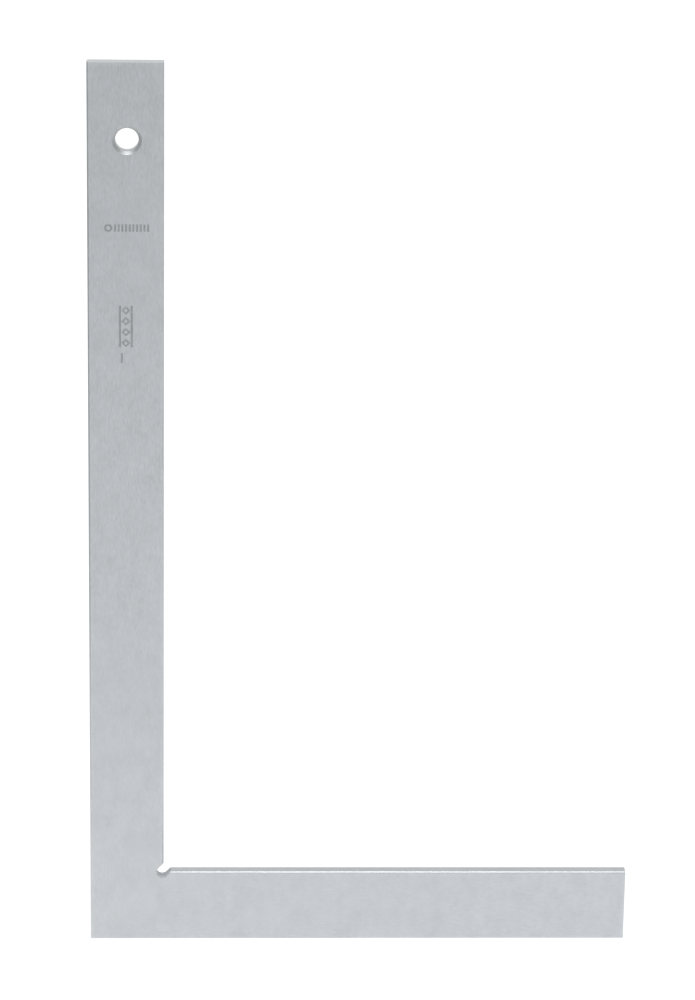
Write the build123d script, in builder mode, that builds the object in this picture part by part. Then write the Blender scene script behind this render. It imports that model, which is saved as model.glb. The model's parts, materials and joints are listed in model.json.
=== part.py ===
from build123d import *

import os
from math import sqrt

os.makedirs("parts", exist_ok=True)

# A flat steel square: two ground flat bars, mitred at the corner and seam-welded front and back.
# +Z runs up the long leg, +X along the short leg and -Y out of the marked face. The origin is the
# middle of the base edge's length and thickness. All sizes are in millimetres.

# Driving dimensions
long_leg_length = 300
short_leg_length = 180
bar_width = 24.5
bar_thickness = 4.5
edge_bevel = 0.5  # along the working edges; the two free ends are left crisp

relief_width = 3.9  # slot across the inner corner, so that a burr on the work clears it
relief_reach = 2.4  # from the inner corner to the bottom of that slot
relief_shift = 0.2  # of its middle line off the mitre, up the long leg

hole_radius = 3.75
hole_from_outer_edge = 12.7
hole_from_end = 25
hole_front_bevel = 1  # countersunk from the marked face
hole_back_bevel = 0.2

weld_depth = 1.5  # groove on each face; the bars meet root to root between the two seams
weld_half_width = 1.5

stamp_depth = 0.2
stamp_taper = 50  # degrees that a punched wall leans in, so a stroke is nearly a V
stroke_width = 0.6

size_mark_shift = 0.3  # towards the inner edge
tick_count = 10
tick_height = 2.6
tick_pitch = 1.17
ring_radius = 1.3

lozenge_count = 4
lozenge_radius = 1.5
lozenge_pitch = 3.6
bar_mark_length = 14
bar_mark_gap = 3.8
foot_tick_height = 3.4
foot_tick_drop = 10.5  # from the middle of the lozenges to the middle of the single tick below them
foot_tick_shift = 1.3  # towards the outer edge

# Places that follow from them
outer_x = -short_leg_length / 2
inner_x = outer_x + bar_width
end_x = short_leg_length / 2
hole_x = outer_x + hole_from_outer_edge
hole_z = long_leg_length - hole_from_end
marks_x = outer_x + bar_width / 2
size_mark_z = hole_z - 28.5
maker_mark_z = size_mark_z - 32.5

front_face = Plane.XZ.offset(bar_thickness / 2)
back_face = Plane.XZ.offset(-bar_thickness / 2)
outer_corner = (outer_x, 0, 0)
mitre_plane = Plane(outer_corner, x_dir=(0, 1, 0), z_dir=(-1, 0, 1))
mitre_section = Plane(outer_corner, x_dir=(-1, 0, 1), z_dir=(1, 0, 1))


# The ground outside of the finished square, which the two bars and the two seams share
with BuildPart() as envelope:
    with BuildSketch(back_face):
        with BuildLine():
            Polyline(
                (outer_x, 0),
                (end_x, 0),
                (end_x, bar_width),
                (inner_x, bar_width),
                (inner_x, long_leg_length),
                (outer_x, long_leg_length),
                close=True,
            )
        make_face()
    extrude(amount=bar_thickness)
    face_edges = edges().filter_by(Axis.Y, reverse=True)
    end_edges = face_edges.group_by(Axis.Z)[-1] + face_edges.group_by(Axis.X)[-1]
    chamfer(face_edges - end_edges, length=edge_bevel)

    relief_inset = (relief_reach - relief_width / 2) / sqrt(2)
    relief_x = inner_x - relief_inset - relief_shift / sqrt(2)
    relief_z = bar_width - relief_inset + relief_shift / sqrt(2)
    with BuildSketch(back_face):
        with Locations((relief_x, relief_z)):
            Circle(relief_width / 2)
            Rectangle(bar_width, relief_width, rotation=45, align=(Align.MIN, Align.CENTER))
    extrude(amount=bar_thickness, mode=Mode.SUBTRACT)


def weld_groove(side):
    """A long triangular prism down the mitre, open to the front (side 1) or the back (side -1)."""
    surface = side * bar_thickness / 2
    root = surface - side * weld_depth
    with BuildPart() as groove:
        with BuildSketch(mitre_section):
            with BuildLine():
                Polyline((-weld_half_width, surface), (0, root), (weld_half_width, surface), close=True)
            make_face()
        extrude(amount=2 * bar_width, both=True)
    return groove.part


# Weld seams, ground flush with the bars
with BuildPart() as front_weld:
    add(weld_groove(1))
    add(envelope.part, mode=Mode.INTERSECT)

with BuildPart() as back_weld:
    add(weld_groove(-1))
    add(envelope.part, mode=Mode.INTERSECT)


# Short leg: the bar that lies along the base
with BuildPart() as short_leg:
    add(envelope.part)
    split(bisect_by=mitre_plane, keep=Keep.BOTTOM)
    add(weld_groove(1), mode=Mode.SUBTRACT)
    add(weld_groove(-1), mode=Mode.SUBTRACT)


# Long leg: the upright bar, with the hanging hole and the punched marks
with BuildPart() as long_leg:
    add(envelope.part)
    split(bisect_by=mitre_plane, keep=Keep.TOP)
    add(weld_groove(1), mode=Mode.SUBTRACT)
    add(weld_groove(-1), mode=Mode.SUBTRACT)

    with Locations(front_face):
        with Locations((hole_x, hole_z)):
            Hole(radius=hole_radius, depth=bar_thickness)
    hole_rims = edges().filter_by(GeomType.CIRCLE).filter_by(lambda rim: rim.radius == hole_radius)
    front_rim, back_rim = hole_rims.sort_by(Axis.Y)
    chamfer(front_rim, length=hole_front_bevel)
    chamfer(back_rim, length=hole_back_bevel)

    # Size mark: a ring and a row of upright ticks
    with BuildSketch(front_face):
        row_length = 2 * ring_radius + tick_count * tick_pitch
        row_start = marks_x + size_mark_shift - row_length / 2
        with Locations((row_start + ring_radius, size_mark_z)):
            Circle(ring_radius)
            Circle(ring_radius - stroke_width, mode=Mode.SUBTRACT)
        first_tick = row_start + 2 * ring_radius + tick_pitch - stroke_width / 2
        with Locations([(first_tick + i * tick_pitch, size_mark_z) for i in range(tick_count)]):
            SlotOverall(tick_height, stroke_width, rotation=90)
    extrude(amount=-stamp_depth, taper=stamp_taper, mode=Mode.SUBTRACT)

    # Maker's place: a column of lozenges between two upright bars, with a single tick below
    with BuildSketch(front_face):
        with Locations((marks_x, maker_mark_z)):
            with GridLocations(bar_mark_gap, 1, 2, 1):
                SlotOverall(bar_mark_length, stroke_width, rotation=90)
            with GridLocations(1, lozenge_pitch, 1, lozenge_count):
                RegularPolygon(lozenge_radius, 4)
                RegularPolygon(lozenge_radius - stroke_width * sqrt(2), 4, mode=Mode.SUBTRACT)
        with Locations((marks_x - foot_tick_shift, maker_mark_z - foot_tick_drop)):
            SlotOverall(foot_tick_height, stroke_width, rotation=90)
    extrude(amount=-stamp_depth, taper=stamp_taper, mode=Mode.SUBTRACT)


long_leg.part.label = "long_leg"
short_leg.part.label = "short_leg"
front_weld.part.label = "front_weld"
back_weld.part.label = "back_weld"

for piece in (long_leg.part, short_leg.part, front_weld.part, back_weld.part):
    export_step(piece, f"parts/{piece.label}.step")
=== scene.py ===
import json
import math

import bmesh
import bpy
from mathutils import Matrix, Vector


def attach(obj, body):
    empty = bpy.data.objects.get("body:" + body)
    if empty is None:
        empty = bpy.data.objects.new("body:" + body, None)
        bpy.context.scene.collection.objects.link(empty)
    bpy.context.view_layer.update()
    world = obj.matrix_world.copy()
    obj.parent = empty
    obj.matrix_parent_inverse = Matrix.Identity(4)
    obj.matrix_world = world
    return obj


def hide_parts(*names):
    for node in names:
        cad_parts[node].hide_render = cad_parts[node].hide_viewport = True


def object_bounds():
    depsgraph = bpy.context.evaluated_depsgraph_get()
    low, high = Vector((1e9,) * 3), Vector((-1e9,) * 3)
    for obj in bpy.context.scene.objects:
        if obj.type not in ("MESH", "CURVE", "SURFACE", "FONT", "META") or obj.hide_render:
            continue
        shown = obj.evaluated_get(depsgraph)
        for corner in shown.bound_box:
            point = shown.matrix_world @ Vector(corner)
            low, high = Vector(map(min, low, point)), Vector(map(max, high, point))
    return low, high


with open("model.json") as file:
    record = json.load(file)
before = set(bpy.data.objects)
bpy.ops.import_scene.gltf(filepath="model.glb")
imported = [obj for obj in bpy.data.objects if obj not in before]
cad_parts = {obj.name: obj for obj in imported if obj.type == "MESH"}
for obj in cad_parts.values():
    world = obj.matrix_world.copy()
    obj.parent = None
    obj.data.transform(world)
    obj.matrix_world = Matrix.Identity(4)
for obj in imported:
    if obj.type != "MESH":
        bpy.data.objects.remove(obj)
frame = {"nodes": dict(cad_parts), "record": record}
cad_low, cad_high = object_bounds()
nodes = frame["nodes"]
mounts = {mount["name"]: mount for mount in frame["record"]["mounts"]}

MM = 0.001

# The square's outline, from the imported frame: an L with its outer corner at low x and low z
OUTER_X = cad_low.x
END_X = cad_high.x
BASE_Z = cad_low.z
TOP_Z = cad_high.z
FRONT_Y = cad_low.y
INNER_X = mounts["inner_long_edge"]["pos_m"][0]
INNER_Z = mounts["inner_short_edge"]["pos_m"][2]
HOLE_X, _, HOLE_Z = mounts["hanging_hole"]["pos_m"]
HOLE_RADIUS = mounts["hanging_hole"]["dims"]["r_mm"] * MM

# Where to look for the hole's, the slot's and the marks' own faces
HOLE_REACH = 1.3 * HOLE_RADIUS
RELIEF_REACH = 4 * MM
MARK_DEPTH_LIMIT = 0.3 * MM
MARK_MARGIN = 3 * MM  # between the marks and the bar's edges
MARKS_TOP_Z = HOLE_Z - 2 * HOLE_RADIUS

# What counts as the same corner, plane or direction, as a flat joint and as a sharp edge
SAME_CORNER = 0.002 * MM
SAME_PLANE = 0.01 * MM
SAME_DIRECTION = 0.002
FLAT_ANGLE = math.radians(0.5)
SHARP_ANGLE = math.radians(25)

# The share of a face's normal that lies along an axis
LOOKS_ALONG = 0.999  # more than this, and the face looks straight along it
RUNS_ALONG = 0.1  # less than this, and the face runs along it

# Softened edges
ARRIS_ROUND = 0.10 * MM  # the wheel's rounding of every working edge
RIM_SHARE = 0.6  # of that, round the hanging hole
END_SHARE = 0.7  # of that, round the crisp free ends
STROKE_SHARE = 0.3  # of that, round a punched stroke

# The metal raised round a punched stroke
RIM_HEIGHT = 0.045 * MM
RIM_SIDES = 8
RIM_UNEVENNESS = 0.45  # the share of its height that a rim may lack from place to place
RIM_SEED = 7

# Bright zinc over ground steel
ZINC = (0.558, 0.582, 0.605)
WELD_ZINC = (0.558, 0.580, 0.601)
END_ZINC = (0.61, 0.635, 0.645)
# The relief slot's zinc is a little darker than the bar's: painted shade inside the slot.
MILLED_ZINC = (0.54, 0.565, 0.585)
DRILLED_ZINC = (0.66, 0.68, 0.69)
# The punched strokes' zinc is a little darker than the bar's: painted shade in their hollows.
PUNCHED_ZINC = (0.54, 0.555, 0.565)
TONE_SPREAD = 0.30  # between the darkest and the lightest zinc, as a share of its colour
# In the relief slot this spread runs from painted shade inside to painted light along the front lip.
MILLED_SPREAD = 0.44
# In the punched strokes this wide spread carries their painted shade.
PUNCHED_SPREAD = 0.60
ROUGHNESS = 0.42
PUNCHED_ROUGHNESS = 0.5

# Marks in the finishes, in millimetres: how wide they are across the grain and how long along it
FINE_GRAIN = (0.14, 9)
FLECKS = (0.48, 1.9)
STREAKS = (0.8, 16)
CUTTER_MARKS = (0.16, 6)

# And these as (x, y, z), also in millimetres
CLOUDS = (5, 5, 7)
SPECKS = (0.7, 0.7, 1.1)
SCRATCHES = (0.16, 0.16, 14)
MOTTLED_AREAS = (45, 45, 45)
RAGGED_EDGES = (5, 5, 5)
MILLED_CLOUDS = (1.5, 1.5, 1.5)
DRILLED_CLOUDS = (3, 3, 3)
PUNCHED_MOTTLE = (0.5, 0.5, 0.5)
PUNCHED_CLOUDS = (4, 4, 4)
DRILL_RINGS = (0.11, 0.11, 5)  # out from the hole's axis, along it and round it

# The levels of noise between which a pattern comes in: higher levels make it sparser
NOISE_MIDDLE = 0.5
AREA_LEVELS = (0.35, 0.60)
SPECK_LEVELS = (0.62, 0.74)
SCRATCH_LEVELS = (0.73, 0.80)
WEAR_LEVELS = (0.30, 0.60)

SCRATCH_SLANT = math.radians(17)
FINER_BELOW = 60 * MM  # height over the base where the grinding is fine
COARSER_ABOVE = 150 * MM  # and where it is coarse
FINE_SHARE = 0.55  # how strong the fine grinding looks, as a share of the coarse
SOFT_AREA, HARSH_AREA = 0.8, 1.25  # and in the softest and the harshest areas, as a share of the rest
RAGGED_REACH = 8 * MM  # how far up or down the change of grain strays from the mitre
GRAIN_BLEND = 2.5 * MM  # half the height over which one grain fades into the other
WORN_WIDTH = 1.6 * MM  # of the band along the edges that handling has polished
WORN_FULLY = 0.1 * MM  # of its outer part, which is polished most
LIP_PAINTED_LIGHT_DEPTH = 1.5 * MM  # painted light along the relief slot's front lip, with painted shade deeper in
LIP_PAINTED_LIGHT_BLEND = 0.8 * MM

# A piece's finishes, by their places in its list of materials
GROUND, END_GROUND, MILLED, DRILLED, PUNCHED = range(5)


# ---------------------------------------------------------------- camera and studio

# The camera stands in front of the long leg, higher than its top. Its place and its aim are in metres
# from the outer corner.
CAMERA_PLACE = Vector((0.035, -1.235, 0.554))
CAMERA_AIM = Vector((0.0843, 0, 0.1558))
CAMERA_ROLL = math.radians(0.90)
CAMERA_LENS = 143.4
CAMERA_SENSOR = 36

# A table whose surface glows by itself, in a plain room, in metres: a painted pool of light that dims to
# the left, to the right and in front.
TABLE_REACH = 12.0
TABLE_BRIGHT = 1.02
TABLE_SPREAD = 0.12  # how fast the bright strip widens to the back
TABLE_SIDES = (  # direction, where the dimming starts and ends, and how much light is left beyond it
    ((-1, 0, 0), 0.12, 0.52, 0.46),
    ((1, 0, 0), 0.12, 0.45, 0.74),
    ((0, -1, 0), 0.04, 0.30, 0.89),
)
ROOM_WALLS = {
    (-1, 0, 0): 0.38,
    (1, 0, 0): 0.48,
    (0, -1, 0): 0.63,
    (0, 1, 0): 0.97,
    (0, 0, 1): 0.42,
}
SOFTBOX_PLACE = (-0.1, -0.3, 2.4)
SOFTBOX_SIZE = (1.6, 1.6)
SOFTBOX_POWER = 20


def add_node(tree, kind, inputs=None, **settings):
    """A new node with its settings; an input's value may be a plain value or another node's output."""
    node = tree.nodes.new(kind)
    for name, value in settings.items():
        setattr(node, name, value)
    for socket, value in (inputs or {}).items():
        if isinstance(value, bpy.types.NodeSocket):
            tree.links.new(value, node.inputs[socket])
        else:
            node.inputs[socket].default_value = value
    return node


def calculate(tree, operation, *values):
    inputs = dict(enumerate(values))
    return add_node(tree, "ShaderNodeMath", inputs, operation=operation).outputs[0]


def calculate_vector(tree, operation, *values, output="Vector"):
    inputs = dict(enumerate(values))
    return add_node(tree, "ShaderNodeVectorMath", inputs, operation=operation).outputs[output]


def smooth_step(tree, value, start, end, low=0.0, high=1.0):
    """Goes smoothly from low to high as value goes from start to end."""
    inputs = {"Value": value, "From Min": start, "From Max": end, "To Min": low, "To Max": high}
    step = add_node(tree, "ShaderNodeMapRange", inputs, interpolation_type="SMOOTHSTEP")
    return step.outputs["Result"]


def stand_camera():
    data = bpy.data.cameras.new("studio_camera")
    data.sensor_width = CAMERA_SENSOR
    data.lens = CAMERA_LENS
    camera = bpy.data.objects.new("studio_camera", data)
    look = (CAMERA_AIM - CAMERA_PLACE).to_track_quat("-Z", "Y").to_matrix().to_4x4()
    place = Matrix.Translation(cad_low + CAMERA_PLACE)
    camera.matrix_world = place @ look @ Matrix.Rotation(CAMERA_ROLL, 4, "Z")
    bpy.context.collection.objects.link(camera)
    bpy.context.scene.camera = camera


def lay_table():
    mesh = bpy.data.meshes.new("studio_table")
    side = TABLE_REACH
    corners = [(-side, -side, 0), (side, -side, 0), (side, side, 0), (-side, side, 0)]
    mesh.from_pydata(corners, [], [(0, 1, 2, 3)])
    table = bpy.data.objects.new("studio_table", mesh)
    bpy.context.collection.objects.link(table)

    glow_paint = bpy.data.materials.new("painted_table_glow")
    glow_paint.use_nodes = True
    tree = glow_paint.node_tree
    place = add_node(tree, "ShaderNodeTexCoord").outputs["Object"]
    y = add_node(tree, "ShaderNodeSeparateXYZ", {"Vector": place}).outputs["Y"]
    widening = calculate(tree, "MULTIPLY", calculate(tree, "MAXIMUM", y, 0.0), TABLE_SPREAD)
    # The table's own glow is a painted pool of light: bright behind the square, dimming to the sides and
    # the front.
    glow = TABLE_BRIGHT
    for direction, start, end, left in TABLE_SIDES:
        outwards = calculate_vector(tree, "DOT_PRODUCT", place, direction, output="Value")
        reach = calculate(tree, "SUBTRACT", outwards, widening)
        glow = calculate(tree, "MULTIPLY", smooth_step(tree, reach, start, end, low=1.0, high=left), glow)
    shader = tree.nodes["Principled BSDF"]
    shader.inputs["Base Color"].default_value = (0.12, 0.12, 0.12, 1)
    shader.inputs["Roughness"].default_value = 0.9
    shader.inputs["Specular IOR Level"].default_value = 0.0
    shader.inputs["Emission Color"].default_value = (1, 1, 1, 1)
    tree.links.new(glow, shader.inputs["Emission Strength"])
    mesh.materials.append(glow_paint)


def light_room():
    """Plain walls and a ceiling, each as bright as ROOM_WALLS says, blending into each other."""
    world = bpy.data.worlds.new("studio_room")
    world.use_nodes = True
    tree = world.node_tree
    direction = add_node(tree, "ShaderNodeTexCoord").outputs["Generated"]
    light = 0.0
    for wall, strength in ROOM_WALLS.items():
        facing = calculate_vector(tree, "DOT_PRODUCT", direction, wall, output="Value")
        share = calculate(tree, "POWER", calculate(tree, "MAXIMUM", facing, 0.0), 2.0)
        light = calculate(tree, "MULTIPLY_ADD", share, strength, light)
    tree.links.new(light, tree.nodes["Background"].inputs["Strength"])
    tree.nodes["Background"].inputs["Color"].default_value = (1, 1, 1, 1)
    bpy.context.scene.world = world
    bpy.context.scene.view_settings.view_transform = "Standard"


def hang_softbox():
    """A soft light overhead, which faces the middle of the base edge."""
    data = bpy.data.lights.new("overhead_softbox", "AREA")
    data.shape = "RECTANGLE"
    data.size, data.size_y = SOFTBOX_SIZE
    data.energy = SOFTBOX_POWER
    lamp = bpy.data.objects.new("overhead_softbox", data)
    place = Vector(SOFTBOX_PLACE)
    look = (-place).to_track_quat("-Z", "Y").to_matrix().to_4x4()
    lamp.matrix_world = Matrix.Translation(place) @ look
    bpy.context.collection.objects.link(lamp)


# ---------------------------------------------------------------- finishes


def stretched_noise(tree, place, size, detail=3.0, roughness=0.55, turn=0.0):
    """Noise with grains of this size, (x, y, z) in millimetres, turned about Y by an angle."""
    scale = tuple(1 / (side * MM) for side in size)
    mapping = {"Vector": place, "Rotation": (0, turn, 0), "Scale": scale}
    vector = add_node(tree, "ShaderNodeMapping", mapping, vector_type="POINT").outputs["Vector"]
    inputs = {"Vector": vector, "Scale": 1.0, "Detail": detail, "Roughness": roughness}
    return add_node(tree, "ShaderNodeTexNoise", inputs).outputs["Fac"]


def grain_along(tree, place, axis, marks, **settings):
    """Noise whose grains lie along one axis; marks says how wide and how long they are."""
    across, along = marks
    size = [across, across, across]
    size["xyz".index(axis)] = along
    return stretched_noise(tree, place, size, **settings)


def mix_values(tree, factor, a, b):
    inputs = {"Factor": factor, "A": a, "B": b}
    return add_node(tree, "ShaderNodeMix", inputs, data_type="FLOAT").outputs["Result"]


def add_pattern(tree, total, pattern, middle, strength):
    """A total with a pattern added, which leaves it alone where the pattern has its middle value."""
    shifted = calculate(tree, "SUBTRACT", pattern, middle)
    return calculate(tree, "MULTIPLY_ADD", shifted, strength, total)


def short_leg_share(tree, x, z, place):
    """0 on the long leg and 1 on the short leg, with a ragged change of grain over the mitre."""
    rise = calculate(tree, "SUBTRACT", z, BASE_Z)
    run = calculate(tree, "SUBTRACT", x, OUTER_X)
    above_mitre = calculate(tree, "SUBTRACT", rise, run)
    ragged = stretched_noise(tree, place, RAGGED_EDGES, detail=2)
    lowest = calculate(tree, "SUBTRACT", above_mitre, RAGGED_REACH)
    shifted = calculate(tree, "MULTIPLY_ADD", ragged, 2 * RAGGED_REACH, lowest)
    return smooth_step(tree, shifted, GRAIN_BLEND, -GRAIN_BLEND)


def distance_to_outline(tree, x, z):
    """How far a point of the L-shaped face lies from its nearest edge."""
    from_long_leg = calculate(tree, "SUBTRACT", INNER_X, x)
    from_short_leg = calculate(tree, "SUBTRACT", INNER_Z, z)
    distance = calculate(tree, "MAXIMUM", from_long_leg, from_short_leg)
    for gap in (
        calculate(tree, "SUBTRACT", x, OUTER_X),
        calculate(tree, "SUBTRACT", END_X, x),
        calculate(tree, "SUBTRACT", z, BASE_Z),
        calculate(tree, "SUBTRACT", TOP_Z, z),
    ):
        distance = calculate(tree, "MINIMUM", distance, gap)
    return distance


def start_finish(name):
    finish = bpy.data.materials.new(name)
    finish.use_nodes = True
    tree = finish.node_tree
    place = add_node(tree, "ShaderNodeTexCoord").outputs["Object"]
    shader = tree.nodes["Principled BSDF"]
    shader.inputs["Metallic"].default_value = 1.0
    return finish, tree, place, shader


def shade_metal(tree, shader, colour, tone, roughness, height, depth, spread=TONE_SPREAD):
    """Joins a finish up: tone 0 to 1 between the darkest and lightest metal, and relief of this depth."""
    dark = tuple(share * (1 - spread / 2) for share in colour) + (1,)
    light = tuple(share * (1 + spread / 2) for share in colour) + (1,)
    mixed = add_node(tree, "ShaderNodeMix", {"Factor": tone, "A": dark, "B": light}, data_type="RGBA")
    tree.links.new(mixed.outputs["Result"], shader.inputs["Base Color"])
    tree.links.new(roughness, shader.inputs["Roughness"])
    bump = add_node(tree, "ShaderNodeBump", {"Height": height, "Strength": 1.0, "Distance": depth})
    tree.links.new(bump.outputs["Normal"], shader.inputs["Normal"])


def ground_zinc(name, colour, grain="legs"):
    """Satin zinc over steel ground along each leg, or across the legs."""
    finish, tree, place, shader = start_finish(name)
    separate = add_node(tree, "ShaderNodeSeparateXYZ", {"Vector": place})
    x, z = separate.outputs["X"], separate.outputs["Z"]
    turned = short_leg_share(tree, x, z, place)
    if grain == "across":
        turned = calculate(tree, "SUBTRACT", 1.0, turned)

    def layer(marks, **settings):
        upright = grain_along(tree, place, "z", marks, **settings)
        level = grain_along(tree, place, "x", marks, **settings)
        return mix_values(tree, turned, upright, level)

    # What the wheel leaves: fine lines, short flecks and long streaks, stronger in some areas
    fine = layer(FINE_GRAIN, detail=2)
    flecks = layer(FLECKS, detail=1.5)
    streaks = layer(STREAKS, detail=4, roughness=0.6)
    uneven = stretched_noise(tree, place, MOTTLED_AREAS, detail=1)
    areas = smooth_step(tree, uneven, *AREA_LEVELS, low=SOFT_AREA, high=HARSH_AREA)
    coarseness = smooth_step(tree, z, BASE_Z + FINER_BELOW, BASE_Z + COARSER_ABOVE, low=FINE_SHARE)
    mottling = calculate(tree, "MULTIPLY", areas, coarseness)

    # What the plating and use leave: clouds, dull specks, slanted scratches and polished edges
    clouds = stretched_noise(tree, place, CLOUDS, detail=3, roughness=0.6)
    specks = smooth_step(tree, stretched_noise(tree, place, SPECKS, detail=3), *SPECK_LEVELS)
    slanted = stretched_noise(tree, place, SCRATCHES, detail=1, turn=SCRATCH_SLANT)
    scratches = smooth_step(tree, slanted, *SCRATCH_LEVELS)
    worn_band = smooth_step(tree, distance_to_outline(tree, x, z), WORN_WIDTH, WORN_FULLY)
    wear = calculate(tree, "MULTIPLY", worn_band, smooth_step(tree, streaks, *WEAR_LEVELS))

    tone = 0.0
    for pattern, middle, strength in (
        (flecks, NOISE_MIDDLE, 0.75),
        (streaks, NOISE_MIDDLE, 0.4),
        (fine, NOISE_MIDDLE, 0.1),
        (specks, 0, -0.25),
    ):
        tone = add_pattern(tree, tone, pattern, middle, strength)
    tone = calculate(tree, "MULTIPLY_ADD", tone, mottling, clouds)
    for pattern, strength in ((scratches, 0.15), (wear, 0.08)):
        tone = calculate(tree, "MULTIPLY_ADD", pattern, strength, tone)

    roughness = ROUGHNESS
    for pattern, middle, strength in (
        (clouds, NOISE_MIDDLE, 0.22),
        (streaks, NOISE_MIDDLE, 0.18),
        (wear, 0, -0.06),
    ):
        roughness = add_pattern(tree, roughness, pattern, middle, strength)

    height = calculate(tree, "MULTIPLY_ADD", streaks, 1.6, fine)
    for pattern, strength in ((scratches, -0.5), (specks, -0.3)):
        height = calculate(tree, "MULTIPLY_ADD", pattern, strength, height)
    shade_metal(tree, shader, colour, tone, roughness, height, depth=0.004 * MM)
    return finish


def milled_zinc_painted_shade_and_light(name, colour):
    """Darker zinc in the relief slot with the cutter's marks through the bar: painted shade inside and
    painted light along the front lip.
    """
    finish, tree, place, shader = start_finish(name)
    marks = grain_along(tree, place, "y", CUTTER_MARKS, detail=2)
    clouds = stretched_noise(tree, place, MILLED_CLOUDS, detail=3)
    y = add_node(tree, "ShaderNodeSeparateXYZ", {"Vector": place}).outputs["Y"]
    # Painted light along the front lip, fading raggedly into painted shade deeper in, where the cutter's
    # marks and clouds keep to the dark third of the tone.
    ragged = calculate(tree, "MULTIPLY_ADD", clouds, LIP_PAINTED_LIGHT_BLEND, y)
    lip_painted_light = smooth_step(tree, ragged, FRONT_Y + LIP_PAINTED_LIGHT_DEPTH + LIP_PAINTED_LIGHT_BLEND, FRONT_Y + LIP_PAINTED_LIGHT_DEPTH)
    inside = calculate(tree, "MULTIPLY", add_pattern(tree, clouds, marks, NOISE_MIDDLE, 0.5), 0.35)
    tone = calculate(tree, "MULTIPLY_ADD", lip_painted_light, 0.85, inside)
    roughness = calculate(tree, "MULTIPLY_ADD", marks, 0.16, ROUGHNESS - 0.04)
    shade_metal(tree, shader, colour, tone, roughness, marks, depth=0.008 * MM, spread=MILLED_SPREAD)
    return finish


def drilled_zinc(name, colour):
    """Zinc over the fine rings that a drill and a countersink leave round the hole."""
    finish, tree, place, shader = start_finish(name)
    from_axis = calculate_vector(tree, "SUBTRACT", place, (HOLE_X, 0, HOLE_Z))
    separate = add_node(tree, "ShaderNodeSeparateXYZ", {"Vector": from_axis})
    x, y, z = (separate.outputs[axis] for axis in "XYZ")
    flat = calculate_vector(tree, "MULTIPLY", from_axis, (1, 0, 1))
    radius = calculate_vector(tree, "LENGTH", flat, output="Value")
    # The rings change slowly round the hole, and start and end on the side of the outer edge
    half_turn = calculate(tree, "MULTIPLY", calculate(tree, "ARCTAN2", z, x), 0.5)
    arc = calculate(tree, "MULTIPLY", calculate(tree, "SINE", half_turn), HOLE_RADIUS)
    ring_place = add_node(tree, "ShaderNodeCombineXYZ", {"X": radius, "Y": y, "Z": arc})
    rings = stretched_noise(tree, ring_place.outputs["Vector"], DRILL_RINGS, detail=2)
    clouds = stretched_noise(tree, place, DRILLED_CLOUDS, detail=3)

    tone = add_pattern(tree, clouds, rings, NOISE_MIDDLE, 0.8)
    roughness = calculate(tree, "MULTIPLY_ADD", rings, 0.16, ROUGHNESS - 0.02)
    shade_metal(tree, shader, colour, tone, roughness, rings, depth=0.006 * MM)
    return finish


def punched_zinc_painted_shade(name, colour):
    """Dull zinc in the bottom and on the walls of a punched stroke, mottled and darkened with painted
    shade.
    """
    finish, tree, place, shader = start_finish(name)
    mottle = stretched_noise(tree, place, PUNCHED_MOTTLE, detail=4, roughness=0.65)
    clouds = stretched_noise(tree, place, PUNCHED_CLOUDS, detail=2)
    # Mottled tone that reaches far into the dark: painted shade in the stroke's hollow.
    tone = calculate(tree, "MULTIPLY_ADD", mottle, 0.7, calculate(tree, "MULTIPLY", clouds, 0.4))
    roughness = calculate(tree, "MULTIPLY_ADD", mottle, 0.2, PUNCHED_ROUGHNESS)
    shade_metal(tree, shader, colour, tone, roughness, mottle, depth=0.01 * MM, spread=PUNCHED_SPREAD)
    return finish


# ---------------------------------------------------------------- pieces


def merged_node(name):
    """The CAD node's loose triangles as one closed mesh, with its flat faces made whole."""
    mesh = bmesh.new()
    mesh.from_mesh(nodes[name].data)
    bmesh.ops.remove_doubles(mesh, verts=mesh.verts, dist=SAME_CORNER)
    bmesh.ops.dissolve_limit(mesh, angle_limit=FLAT_ANGLE, verts=mesh.verts, edges=mesh.edges)
    bmesh.ops.recalc_face_normals(mesh, faces=mesh.faces)
    return mesh


def face_plane(face):
    return face.normal.copy(), face.normal.dot(face.calc_center_median())


def same_plane(a, b):
    return (a[0] - b[0]).length < SAME_DIRECTION and abs(a[1] - b[1]) < SAME_PLANE


def joint_planes(name, meshes):
    """The planes on which this node meets its neighbours, face against face."""
    facing = []
    for other, mesh in meshes.items():
        if other != name:
            facing += [(-normal, -offset) for normal, offset in map(face_plane, mesh.faces)]
    own = map(face_plane, meshes[name].faces)
    return [plane for plane in own if any(same_plane(plane, other) for other in facing)]


def is_end(face):
    """Ground across the bar: the two free ends."""
    middle = face.calc_center_median()
    return middle.z > TOP_Z - SAME_PLANE or middle.x > END_X - SAME_PLANE


def is_drilled(face):
    """The wall of the hole and the slopes at its two rims, but not the bar's own faces round it."""
    middle = face.calc_center_median()
    reach = math.hypot(middle.x - HOLE_X, middle.z - HOLE_Z)
    return reach < HOLE_REACH and abs(face.normal.y) < LOOKS_ALONG


def is_punched(face):
    """In the shallow marks on the long leg's front face, well inside its edges and below the hole."""
    middle = face.calc_center_median()
    inside = OUTER_X + MARK_MARGIN < middle.x < INNER_X - MARK_MARGIN
    deep = SAME_PLANE < middle.y - FRONT_Y < MARK_DEPTH_LIMIT
    return inside and deep and INNER_Z < middle.z < MARKS_TOP_Z


def is_relief(face):
    """The walls of the slot across the inner corner, but not the legs' own faces and edges beside it."""
    middle = face.calc_center_median()
    near = math.hypot(middle.x - INNER_X, middle.z - INNER_Z) < RELIEF_REACH
    through = abs(face.normal.y) < RUNS_ALONG
    slanted = max(abs(face.normal.x), abs(face.normal.z)) < LOOKS_ALONG
    return near and through and slanted


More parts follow.
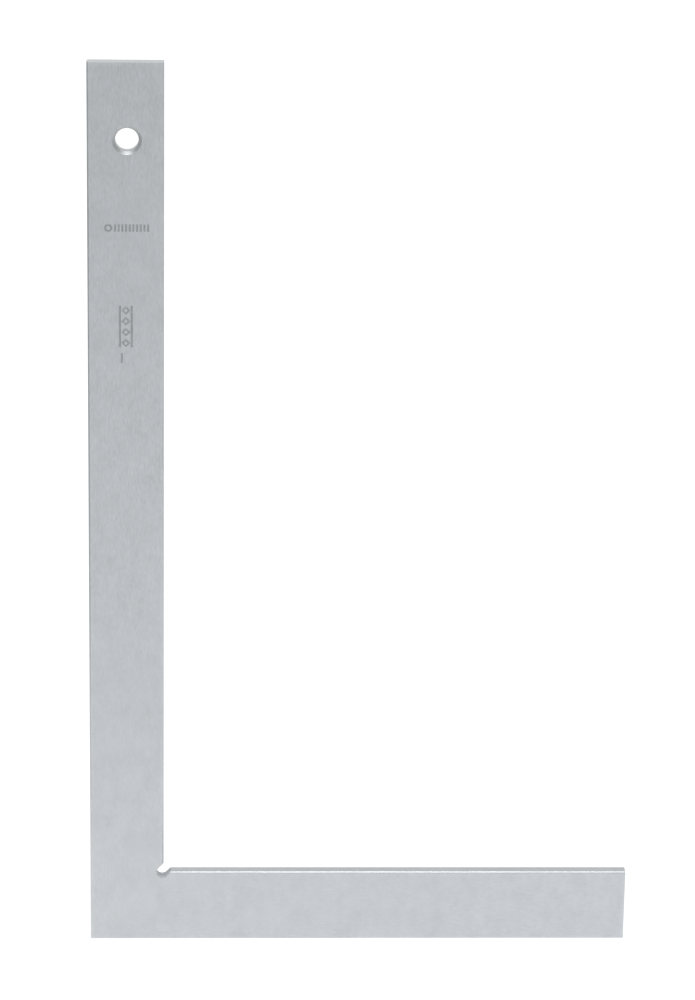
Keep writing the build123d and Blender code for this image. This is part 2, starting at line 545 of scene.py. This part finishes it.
def finish_index(face):
    if is_end(face):
        return END_GROUND
    if is_relief(face):
        return MILLED
    if is_drilled(face):
        return DRILLED
    if is_punched(face):
        return PUNCHED
    return GROUND


def soften_edges(mesh, planes):
    """Gives each sharp outside edge its share of the rounding; where two pieces meet, it stays sharp."""
    weights = mesh.edges.layers.float.new("bevel_weight_edge")
    for edge in mesh.edges:
        if edge.calc_face_angle() < SHARP_ANGLE:
            continue
        if any(same_plane(face_plane(face), plane) for face in edge.link_faces for plane in planes):
            edge.smooth = False
        elif any(is_punched(face) for face in edge.link_faces):
            edge[weights] = STROKE_SHARE
        elif any(is_drilled(face) for face in edge.link_faces):
            edge[weights] = RIM_SHARE
        elif any(is_end(face) for face in edge.link_faces):
            edge[weights] = END_SHARE
        else:
            edge[weights] = 1.0


def apply_modifiers(piece):
    """Turns a piece and its modifiers into a plain mesh."""
    bpy.context.view_layer.update()
    evaluated = piece.evaluated_get(bpy.context.evaluated_depsgraph_get())
    mesh = bpy.data.meshes.new_from_object(evaluated)
    mesh.name = piece.name
    piece.modifiers.clear()
    piece.data = mesh


def new_piece(name, mesh):
    """A piece at the origin with this mesh."""
    data = bpy.data.meshes.new(name)
    mesh.to_mesh(data)
    mesh.free()
    piece = bpy.data.objects.new(name, data)
    bpy.context.collection.objects.link(piece)
    return piece


def grind_piece(name, source, meshes, finishes):
    """A softened, finished copy of a CAD node, which it replaces."""
    mesh = meshes[source].copy()
    for face in mesh.faces:
        face.material_index = finish_index(face)
        face.smooth = True
    soften_edges(mesh, joint_planes(source, meshes))
    piece = new_piece(name, mesh)
    for finish in finishes:
        piece.data.materials.append(finish)
    rounding = piece.modifiers.new("rounding", "BEVEL")
    rounding.limit_method = "WEIGHT"
    rounding.width = ARRIS_ROUND
    rounding.segments = 2
    shading = piece.modifiers.new("shading", "WEIGHTED_NORMAL")
    shading.mode = "FACE_AREA"
    shading.weight = 100
    shading.keep_sharp = True
    apply_modifiers(piece)
    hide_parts(source)
    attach(piece, "root")


def rim_tree():
    """Geometry Nodes that run an uneven rim of raised metal along each outline."""
    tree = bpy.data.node_groups.new("punched_rim", "GeometryNodeTree")
    for name, kind in (
        ("Outlines", "Geometry"),
        ("Rim height", "Float"),
        ("Rim sides", "Int"),
        ("Unevenness", "Float"),
        ("Seed", "Int"),
        ("Finish", "Material"),
    ):
        tree.interface.new_socket(name, in_out="INPUT", socket_type=f"NodeSocket{kind}")
    tree.interface.new_socket("Rims", in_out="OUTPUT", socket_type="NodeSocketGeometry")

    given = tree.nodes.new("NodeGroupInput").outputs
    lowest = calculate(tree, "SUBTRACT", 1.0, given["Unevenness"])
    sizes = {"Min": lowest, "Max": 1.0, "Seed": given["Seed"]}
    uneven = add_node(tree, "FunctionNodeRandomValue", sizes, data_type="FLOAT").outputs["Value"]
    path = add_node(tree, "GeometryNodeMeshToCurve", {"Mesh": given["Outlines"]}).outputs["Curve"]
    path = add_node(tree, "GeometryNodeSetCurveRadius", {"Curve": path, "Radius": uneven}).outputs["Curve"]
    circle = {"Resolution": given["Rim sides"], "Radius": given["Rim height"]}
    section = add_node(tree, "GeometryNodeCurvePrimitiveCircle", circle).outputs["Curve"]
    sweep = {"Curve": path, "Profile Curve": section, "Fill Caps": True}
    rims = add_node(tree, "GeometryNodeCurveToMesh", sweep).outputs["Mesh"]
    rims = add_node(tree, "GeometryNodeRealizeInstances", {"Geometry": rims}).outputs["Geometry"]
    plated = {"Geometry": rims, "Material": given["Finish"]}
    rims = add_node(tree, "GeometryNodeSetMaterial", plated).outputs["Geometry"]
    add_node(tree, "NodeGroupOutput", {"Rims": rims})
    return tree


def set_inputs(modifier, values):
    """Sets a Geometry Nodes modifier's inputs, which go by their identifiers."""
    for item in modifier.node_group.interface.items_tree:
        if item.item_type == "SOCKET" and item.in_out == "INPUT" and item.name in values:
            modifier[item.identifier] = values[item.name]


def raise_rims(meshes, finish):
    """The low rim of metal that each punched stroke has pushed up round itself."""
    outlines = bmesh.new()
    points = {}
    for edge in meshes["long_leg"].edges:
        on_front = all(abs(corner.co.y - FRONT_Y) < SAME_PLANE / 2 for corner in edge.verts)
        if on_front and any(is_punched(face) for face in edge.link_faces):
            for corner in edge.verts:
                if corner not in points:
                    points[corner] = outlines.verts.new(corner.co)
            outlines.edges.new([points[corner] for corner in edge.verts])
    piece = new_piece("punched_rims", outlines)
    rims = piece.modifiers.new("rims", "NODES")
    rims.node_group = rim_tree()
    values = {
        "Rim height": RIM_HEIGHT,
        "Rim sides": RIM_SIDES,
        "Unevenness": RIM_UNEVENNESS,
        "Seed": RIM_SEED,
        "Finish": finish,
    }
    set_inputs(rims, values)
    apply_modifiers(piece)
    for face in piece.data.polygons:
        face.use_smooth = True
    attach(piece, "root")


def make_square():
    bar_finishes = [
        ground_zinc("ground_zinc", ZINC),
        ground_zinc("end_zinc", END_ZINC, grain="across"),
        milled_zinc_painted_shade_and_light("milled_zinc_painted_shade_and_light", MILLED_ZINC),
        drilled_zinc("drilled_zinc", DRILLED_ZINC),
        punched_zinc_painted_shade("punched_zinc_painted_shade", PUNCHED_ZINC),
    ]
    weld_finishes = [ground_zinc("weld_zinc", WELD_ZINC)] + bar_finishes[END_GROUND:]
    meshes = {name: merged_node(name) for name in nodes}
    grind_piece("long_bar", "long_leg", meshes, bar_finishes)
    grind_piece("short_bar", "short_leg", meshes, bar_finishes)
    grind_piece("front_seam", "front_weld", meshes, weld_finishes)
    grind_piece("back_seam", "back_weld", meshes, weld_finishes)
    raise_rims(meshes, bar_finishes[GROUND])
    for mesh in meshes.values():
        mesh.free()


stand_camera()
lay_table()
light_room()
hang_softbox()
make_square()
